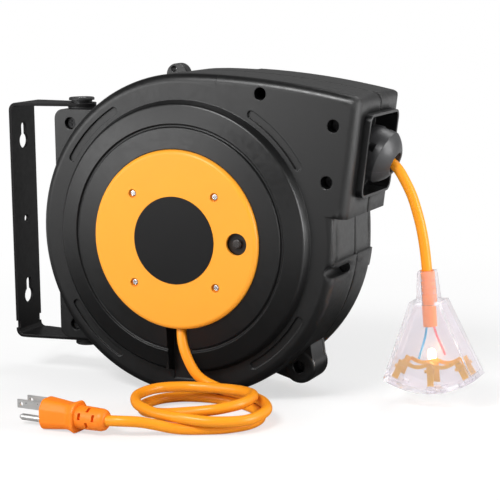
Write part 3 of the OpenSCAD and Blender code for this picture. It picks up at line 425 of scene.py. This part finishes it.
def cord_tube(name, route, body, up, steps):
    """A tube along a smooth curve through the route's points: Hermite pieces whose slope at each
    point is half the chord between its neighbours. Its radius ripples by r (1 + 0.004 cos(3 angle
    - turn along it)), three cores with a lay of 90 mm; up is a direction the route never takes."""
    sides, ripple, lay = 28, 0.004, 0.09
    p = np.asarray(route, float)
    slope = np.gradient(p, axis=0)
    t = np.linspace(0, len(p) - 1, steps)
    i = np.minimum(t.astype(int), len(p) - 2)
    f = (t - i)[:, None]
    line = ((2 * f**3 - 3 * f**2 + 1) * p[i] + (f**3 - 2 * f**2 + f) * slope[i]
            + (3 * f**2 - 2 * f**3) * p[i + 1] + (f**3 - f**2) * slope[i + 1])
    ahead = np.gradient(line, axis=0)
    ahead /= np.linalg.norm(ahead, axis=1, keepdims=True)
    side = np.cross(ahead, up)
    side /= np.linalg.norm(side, axis=1, keepdims=True)
    top = np.cross(side, ahead)
    far = np.r_[0, np.cumsum(np.linalg.norm(np.diff(line, axis=0), axis=1))]
    angle = np.linspace(0, 2 * np.pi, sides, endpoint=False)
    r = cord_d / 2 * (1 + ripple * np.cos(3 * angle - 2 * np.pi * far[:, None] / lay))
    points = (line[:, None] + (r * np.cos(angle))[..., None] * side[:, None]
              + (r * np.sin(angle))[..., None] * top[:, None])
    tube = shaped(name, points, tube_faces(steps, sides), cord_jacket, body,
                  crease=60)
    return tube, line, far[-1]


outlet_route = [
    (0.3145, 0, 0.0666), (0.3218, 0, 0.0633), (0.328, 0, 0.0597), (0.3333, 0, 0.055),
    (0.338, 0, 0.0482), (0.345, 0, 0.0348), (0.35, 0, 0.02), (0.3533, 0, 0.007),
    (0.3557, 0, -0.007), (0.3575, 0, -0.0225),
]
outlet_cord, outlet_line, outlet_length = cord_tube(
    "orange_outlet_cord", outlet_route, "pull", up=(0, 1, 0), steps=120)
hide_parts("outlet_cord")
lead_route = [
    # out under the hub cover and down its channel
    (0.1745, -0.0526, -0.0500), (0.1745, -0.0530, -0.0630), (0.1771, -0.0581, -0.0777),
    (0.1813, -0.0609, -0.0889), (0.1887, -0.0619, -0.1019), (0.1973, -0.0608, -0.1097),
    # round the coil, upper turns first
    (0.2111, -0.0598, -0.1149), (0.2230, -0.0612, -0.1159), (0.2372, -0.0662, -0.1159),
    (0.2474, -0.0725, -0.1160), (0.2562, -0.0806, -0.1160), (0.2643, -0.0931, -0.1163),
    (0.2668, -0.1044, -0.1168), (0.2643, -0.1186, -0.1178), (0.2580, -0.1289, -0.1179),
    (0.2457, -0.1384, -0.1173), (0.2341, -0.1429, -0.1166), (0.2192, -0.1445, -0.1156),
    (0.2073, -0.1431, -0.1156), (0.1956, -0.1400, -0.1155), (0.1821, -0.1336, -0.1145),
    (0.1728, -0.1262, -0.1138), (0.1652, -0.1141, -0.1130), (0.1634, -0.1030, -0.1125),
    (0.1669, -0.0894, -0.1121), (0.1741, -0.0797, -0.1122), (0.1870, -0.0715, -0.1125),
    (0.1986, -0.0687, -0.1126), (0.2104, -0.0678, -0.1124), (0.2249, -0.0691, -0.1119),
    (0.2357, -0.0730, -0.1112), (0.2468, -0.0818, -0.1099), (0.2520, -0.0916, -0.1093),
    (0.2531, -0.1052, -0.1095), (0.2496, -0.1155, -0.1102), (0.2402, -0.1257, -0.1115),
    (0.2298, -0.1303, -0.1128), (0.2181, -0.1314, -0.1146), (0.2036, -0.1293, -0.1174),
    (0.1924, -0.1258, -0.1195), (0.1793, -0.1192, -0.1216), (0.1703, -0.1117, -0.1227),
    (0.1629, -0.0994, -0.1235), (0.1612, -0.0881, -0.1239), (0.1647, -0.0744, -0.1240),
    (0.1716, -0.0654, -0.1240), (0.1813, -0.0593, -0.1240), (0.1956, -0.0564, -0.1240),
    (0.2074, -0.0568, -0.1240), (0.2219, -0.0602, -0.1240), (0.2328, -0.0649, -0.1240),
    (0.2451, -0.0732, -0.1240), (0.2532, -0.0818, -0.1240), (0.2596, -0.0949, -0.1239),
    (0.2605, -0.1064, -0.1239), (0.2573, -0.1175, -0.1240), (0.2480, -0.1294, -0.1240),
    (0.2376, -0.1363, -0.1240), (0.2236, -0.1427, -0.1240),
    # off the coil into the plug
    (0.2127, -0.1476, -0.1229), (0.2007, -0.1547, -0.1194), (0.1921, -0.1610, -0.1170),
    (0.1805, -0.1667, -0.1161), (0.1701, -0.1675, -0.1166),
]
lead, lead_line, lead_length = cord_tube(
    "orange_power_lead", lead_route, "housing", up=(0.5, -0.4, 0.77), steps=760)
lead.visible_glossy = False  # the dark housing shows no orange gloss, as in the photograph
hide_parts("lead_cord")
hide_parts("lead_coil")
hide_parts("plug_tail")
dressed("lead_clamp", "lead_cord_clamp", cap_plastic)


def finished_in(material, *nodes):
    """CAD nodes that keep their own mesh take a material."""
    for node in nodes:
        slots = frame["nodes"][node].data.materials
        slots.clear()
        slots.append(material)


finished_in(cord_jacket, "cord_run", "wound_cord")


# Plug. Orange PVC moulded over the blades, its grip waisted and chamfered, with a slotted bend
# relief; nickel plated blades and a round ground pin.
plug_middle, plug_turn = (0.130, -0.1645, -0.1166), math.radians(176)
plug_pvc = surface("orange_plug_pvc", (0.94, 0.23, 0.01), rough=0.42, grain=0.0009,
                   relief=0.00003, edge=0.0006, spread=0.02, shine=0.35)
nickel = surface("nickel_plate", (0.74, 0.74, 0.73), rough=0.3, grain=0.0006,
                 relief=0.000006, edge=0, metal=0.6)


def plug_grip():
    """Along the plug's axis a section shrinks to a waist and flares to a collar: a superellipse of
    power 6, |y/w|^6 + |z/h|^6 = 1, whose width falls in a straight line over its upper and lower
    part, so that sloped facets lie along the top and bottom; w and h are read off tables along
    the axis, in millimetres, and smoothed."""
    x = np.r_[np.linspace(13, 11.5, 8), np.linspace(11.1, -15.2, 90),
              np.linspace(-15.5, -16.5, 6)]
    at = [-16.5, -16.2, -15.4, -14.2, -11.5, -9.0, -5.5, 2.0, 11.1, 12.3, 12.8, 13.0]
    wide = [10.0, 10.5, 10.7, 10.5, 9.4, 8.9, 9.2, 10.0, 10.7, 10.6, 10.2, 9.7]
    high = [10.6, 11.1, 11.35, 11.1, 10.0, 9.5, 9.7, 10.5, 11.4, 11.3, 10.9, 10.4]
    wide, high = np.interp(x, at, wide), np.interp(x, at, high)
    between = slice(10, -8)  # the rims at both ends stay as they are in the tables
    for half in (wide, high):
        half[between] = np.convolve(half, np.ones(7) / 7, "same")[between]
    angle = np.linspace(0, 2 * np.pi, 144, endpoint=False)
    y, z = (np.sign(v) * abs(v) ** (1 / 3) for v in (np.cos(angle), np.sin(angle)))
    upper, lower = np.clip((z - 0.42) / 0.58, 0, 1), np.clip((-z - 0.5) / 0.5, 0, 1)
    y = y * (1 - 0.36 * upper - 0.2 * lower)
    local = np.stack(np.broadcast_arrays(x[:, None], wide[:, None] * y, high[:, None] * z), -1)
    c, s = math.cos(plug_turn), math.sin(plug_turn)
    points = plug_middle + local / 1000 @ np.array([(c, s, 0), (-s, c, 0), (0, 0, 1)])
    return shaped("plug_grip", points, tube_faces(len(x), len(angle)), plug_pvc,
                  "housing", crease=28)


plug_body = plug_grip()
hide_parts("plug_body")
plug_relief = dressed("plug_relief", "plug_bend_relief", plug_pvc)
plug_blades = dressed("plug_blades", "plug_flat_blades", nickel)
plug_ground = dressed("plug_ground", "plug_ground_pin", nickel)


# Tap. A three-outlet block moulded in clear PVC over brass bus bars, with a lamp that glows when
# live, blue and red leads and an orange sleeve where the cord goes in.
tap_top, tap_tilt = outlet_route[-1], math.radians(-4)
tap_clear = surface("clear_tap_pvc", (0.90, 0.875, 0.91), rough=0.09, grain=0.004,
                    relief=0.00001, edge=0.0012, spread=0.01, shine=0.8)
clear_shader = tap_clear.node_tree.nodes["Principled BSDF"]
clear_shader.inputs["Transmission Weight"].default_value = 0.9
clear_shader.inputs["IOR"].default_value = 1.17
brass = surface("stamped_brass", (0.70, 0.36, 0.012), rough=0.3, grain=0.0008,
                relief=0.000008, edge=0, metal=0.6)

# One node holds both leads: the blue one lies left of x = 0.3605, the red one right of it.
wire_pair = surface("blue_and_red_wires", (0.02, 0.36, 0.62), rough=0.4, grain=0.0009,
                    relief=0.00001, edge=0.0002)
wire_red, between_wires = (0.72, 0.10, 0.13, 1), 0.3605
tree = wire_pair.node_tree
wire_colour = tree.nodes["Principled BSDF"].inputs["Base Color"]
across = tree.nodes.new("ShaderNodeSeparateXYZ")
tree.links.new(tree.nodes["place"].outputs["Object"], across.inputs[0])
right_one = tree.nodes.new("ShaderNodeMath")
right_one.operation = "GREATER_THAN"
right_one.inputs[1].default_value = between_wires
tree.links.new(across.outputs["X"], right_one.inputs[0])
either_wire = tree.nodes.new("ShaderNodeMix")
either_wire.data_type = "RGBA"
tree.links.new(right_one.outputs[0], either_wire.inputs["Factor"])
tree.links.new(wire_colour.links[0].from_socket, either_wire.inputs["A"])
either_wire.inputs["B"].default_value = wire_red
tree.links.new(either_wire.outputs["Result"], wire_colour)

sleeve_orange = surface("orange_sleeve", (0.95, 0.24, 0.012), rough=0.4, grain=0.0008,
                        relief=0.00002, edge=0.0003)
lamp_glow = surface("lamp_glow", (1.0, 0.86, 0.62), rough=0.3, grain=0.002,
                    relief=0.00001, edge=0.0002)
lamp_shader = lamp_glow.node_tree.nodes["Principled BSDF"]
lamp_shader.inputs["Emission Color"].default_value = (1.0, 0.62, 0.26, 1)
lamp_shader.inputs["Emission Strength"].default_value = 22.0
tap_body = dressed("tap_body", "clear_tap_block", tap_clear)
tap_sleeve = dressed("tap_sleeve", "tap_cord_sleeve", sleeve_orange)


def contact_strips():
    """Flat strips on both sides of the tap, each between two points: x and z run straight, a bow
    of 4 t (1 - t) is added across (y) and along (z), and a rectangle of the strip's width, at
    right angles to its run, and 0.9 mm is carried along. Sizes are in millimetres from the
    tap's top."""
    strips = np.array([  # x and z of both ends, half the width, bow across, sag along
        (-20, -69.5, 0, -70.5, 1.5, 0, -3.5), (0, -70.5, 20, -69.5, 1.5, 0, -3.5),
        (-21.5, -68.5, -28.5, -82, 2.5, 0.9, 0), (0, -71, 0, -88.5, 2.5, 0.9, 0),
        (21.5, -68.5, 28.5, -82, 2.5, 0.9, 0), (-27.5, -72, -20.5, -75.5, 1.3, 0.5, 0),
        (-4, -77, 4, -77, 1.3, 0.5, 0), (20.5, -75.5, 27.5, -72, 1.3, 0.5, 0),
    ])
    off_middle, half_thick = 8.25, 0.45
    x0, z0, x1, z1, half, bow, sag = np.tile(strips, (2, 1)).T[..., None]
    side = np.repeat((-1, 1), len(strips))[:, None]
    t = np.linspace(0, 1, 21)
    hump = 4 * t * (1 - t)
    run_x, run_z = x1 - x0 + 0 * t, z1 - z0 + sag * 4 * (1 - 2 * t)
    long = np.hypot(run_x, run_z)
    across_x, across_z = -half * run_z / long, half * run_x / long
    x, z = x0 + (x1 - x0) * t, z0 + (z1 - z0) * t + sag * hump
    y = side * (off_middle - bow * hump)
    corners = [(-1, -half_thick), (1, -half_thick), (1, half_thick), (-1, half_thick)]
    local = np.stack([np.stack([x + a * across_x, y + b, z + a * across_z], -1)
                      for a, b in corners], 2)
    c, s = math.cos(tap_tilt), math.sin(tap_tilt)
    points = local / 1000 @ np.array([(c, 0, -s), (0, 1, 0), (s, 0, c)]) + tap_top
    count, rows, columns = points.shape[:3]
    return shaped("tap_bus_bars", points, tube_faces(rows, columns, count), brass,
                  "pull")


tap_contacts = contact_strips()
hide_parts("tap_contacts")
tap_lamp = dressed("tap_lamp", "tap_power_lamp", lamp_glow)
tap_wires = dressed("tap_wires", "tap_core_wires", wire_pair)


# Winding works inside the housing. Steel axle and mainspring, a moulded drum, copper slip rings on
# a phenolic carrier with carbon brushes, and a ratchet with its brass pawl; seen only when the
# housing is opened.
drum_plastic = surface("drum_moulding", (0.12, 0.125, 0.13), rough=0.5, grain=0.0008,
                       relief=0.00003, edge=0.0005)
copper = surface("slip_ring_copper", (0.75, 0.34, 0.18), rough=0.28, grain=0.0006,
                 relief=0.00001, edge=0.0002, metal=1.0)
phenolic = surface("brown_phenolic", (0.24, 0.05, 0.02), rough=0.45, grain=0.0007,
                   relief=0.00002, edge=0.0004)
carbon = surface("carbon_brush", (0.12, 0.09, 0.07), rough=0.55, grain=0.0005,
                 relief=0.00002, edge=0.0002)
finished_in(post_steel, "axle", "mainspring", "drum_screws", "pawl_pin", "ratchet_ring")
finished_in(drum_plastic, "drum_core", "front_flange", "rear_flange", "spring_cover")
finished_in(copper, "slip_rings")
finished_in(phenolic, "slip_carrier")
finished_in(carbon, "brushes")
finished_in(button_plastic, "brush_holder")
finished_in(brass, "pawl")


# Studio. A pale paper floor that runs out to white, and four softboxes: the key above the front,
# weaker ones low at the left and the right, and one high behind. The camera stands where the
# photograph was taken.
floor_z, floor_half = -0.1282, 9
floor_mesh = bpy.data.meshes.new("studio_floor")
floor_corners = [(i * floor_half, k * floor_half, floor_z)
                 for i, k in ((-1, -1), (1, -1), (1, 1), (-1, 1))]
floor_mesh.from_pydata(floor_corners, [], [(0, 1, 2, 3)])
floor = bpy.data.objects.new("studio_floor", floor_mesh)
bpy.context.scene.collection.objects.link(floor)


def together(tree, operation, first, second):
    """Two values joined by one arithmetic step."""
    node = tree.nodes.new("ShaderNodeMath")
    node.operation = operation
    tree.links.new(first, node.inputs[0])
    tree.links.new(second, node.inputs[1])
    return node.outputs[0]


def mixed(tree, share, first, second):
    """Two shaders mixed, the second by the given share."""
    node = tree.nodes.new("ShaderNodeMixShader")
    for socket, source in zip(node.inputs, (share, first, second)):
        tree.links.new(source, socket)
    return node.outputs[0]


# The camera sees paper that fades to white away from the reel, gloss sees light that grows away
# from it, behind it and to its right, and everything else a plain grey bounce.
under_reel = (0.25, -0.02, -0.128)
floor_mat = bpy.data.materials.new("white_floor")
floor_mat.use_nodes = True
tree = floor_mat.node_tree
paper = tree.nodes["Principled BSDF"]
paper.inputs["Base Color"].default_value = (0.9, 0.9, 0.9, 1)
paper.inputs["Roughness"].default_value = 0.9
paper.inputs["Specular IOR Level"].default_value = 0.0
bounce = tree.nodes.new("ShaderNodeBsdfDiffuse")
bounce.inputs["Color"].default_value = (0.7, 0.7, 0.7, 1)
spot = tree.nodes.new("ShaderNodeTexCoord").outputs["Object"]
from_reel = tree.nodes.new("ShaderNodeVectorMath")
from_reel.operation = "DISTANCE"
from_reel.inputs[1].default_value = under_reel
tree.links.new(spot, from_reel.inputs[0])
away = from_reel.outputs["Value"]
way = tree.nodes.new("ShaderNodeSeparateXYZ")
tree.links.new(spot, way.inputs[0])
path = tree.nodes.new("ShaderNodeLightPath").outputs
lit = together(tree, "MAXIMUM", graded(tree, way.outputs["Y"], 0.12, 0.35, 0.0, 0.6),
               graded(tree, away, 0.25, 1.1, 0.0, 0.8))
lit = together(tree, "MAXIMUM", lit, graded(tree, way.outputs["X"], 0.3, 0.7, 0.03, 1.0))
mirrored = tree.nodes.new("ShaderNodeEmission")
tree.links.new(lit, mirrored.inputs["Strength"])
white = tree.nodes.new("ShaderNodeEmission")
shown = mixed(tree, graded(tree, away, 0.15, 0.75, 0.62, 1.0), paper.outputs[0], white.outputs[0])
unseen = mixed(tree, path["Is Glossy Ray"], bounce.outputs[0], mirrored.outputs[0])
seen = together(tree, "MAXIMUM", path["Is Camera Ray"], path["Is Transmission Ray"])
tree.links.new(mixed(tree, seen, unseen, shown), tree.nodes["Material Output"].inputs["Surface"])
floor_mesh.materials.append(floor_mat)

# The world is white to the camera and a faint fill to matt surfaces; gloss sees it bright at the
# right, dimmer at the left, behind, in front and overhead.
fill_strength = 0.22
world = bpy.data.worlds.new("white_studio")
bpy.context.scene.world = world
world.use_nodes = True
tree = world.node_tree
way = tree.nodes.new("ShaderNodeSeparateXYZ")
tree.links.new(tree.nodes.new("ShaderNodeTexCoord").outputs["Generated"], way.inputs[0])
path = tree.nodes.new("ShaderNodeLightPath").outputs
lit = together(tree, "MULTIPLY", graded(tree, way.outputs["X"], -0.2, 0.4, 0.2, 1.0),
               graded(tree, way.outputs["Y"], 0.3, 0.85, 1.0, 0.45))
lit = together(tree, "MAXIMUM", lit, graded(tree, way.outputs["Y"], 0.2, 0.85, 0.0, 0.24))
lit = together(tree, "MULTIPLY", lit, graded(tree, way.outputs["Z"], 0.3, 0.8, 1.0, 0.2))
lit = together(tree, "MULTIPLY", lit, graded(tree, way.outputs["Y"], -0.6, 0.0, 0.25, 1.0))
lit = together(tree, "MULTIPLY", path["Is Glossy Ray"], lit)
seen = together(tree, "MAXIMUM", path["Is Camera Ray"], path["Is Transmission Ray"])
fill = graded(tree, path["Is Diffuse Ray"], 0.0, 1.0, 0.0, fill_strength)
background = tree.nodes["Background"]
background.inputs["Color"].default_value = (1, 1, 1, 1)
tree.links.new(together(tree, "ADD", together(tree, "ADD", lit, seen), fill),
               background.inputs["Strength"])


def toward(turn, tilt):
    """The direction that points turn degrees round from the front and tilt degrees up."""
    turn, tilt = math.radians(turn), math.radians(tilt)
    return Vector((math.sin(turn) * math.cos(tilt), -math.cos(turn) * math.cos(tilt),
                   math.sin(tilt)))


reel_middle = Vector((0.19, 0, 0))
for name, turn, tilt, distance, width, height, watts in (
    ("key_softbox", -8, 44, 2.0, 0.8, 0.5, 29),
    ("left_softbox", -38, 13, 1.0, 0.75, 0.42, 3.4),
    ("right_softbox", 88, 11, 0.9, 0.36, 0.5, 4.8),
    ("back_softbox", 150, 58, 1.7, 1.2, 0.7, 10),
):
    lamp = bpy.data.lights.new(name, "AREA")
    lamp.shape, lamp.size, lamp.size_y, lamp.energy = "RECTANGLE", width, height, watts
    holder = bpy.data.objects.new(name, lamp)
    holder.location = reel_middle + distance * toward(turn, tilt)
    holder.rotation_euler = toward(turn, tilt).to_track_quat("Z", "Y").to_euler()
    holder.visible_camera = False
    bpy.context.scene.collection.objects.link(holder)

azimuth, elevation, roll = 24.35, 9.59, math.radians(-0.68)
stands_at = Vector((0.7384, -1.168, 0.2012))
back = toward(azimuth, elevation)
level = toward(azimuth + 90, 0)
rise = back.cross(level)
right = math.cos(roll) * level + math.sin(roll) * rise
up = -math.sin(roll) * level + math.cos(roll) * rise
lens = bpy.data.cameras.new("photo_camera")
lens.lens, lens.sensor_width = 117.43, 36.0
lens.clip_start, lens.clip_end = 0.05, 60
camera = bpy.data.objects.new("photo_camera", lens)
pose = Matrix((right, up, back)).transposed().to_4x4()
pose.translation = stands_at
camera.matrix_world = pose
bpy.context.scene.collection.objects.link(camera)
bpy.context.scene.camera = camera
bpy.context.scene.view_settings.view_transform = "Standard"
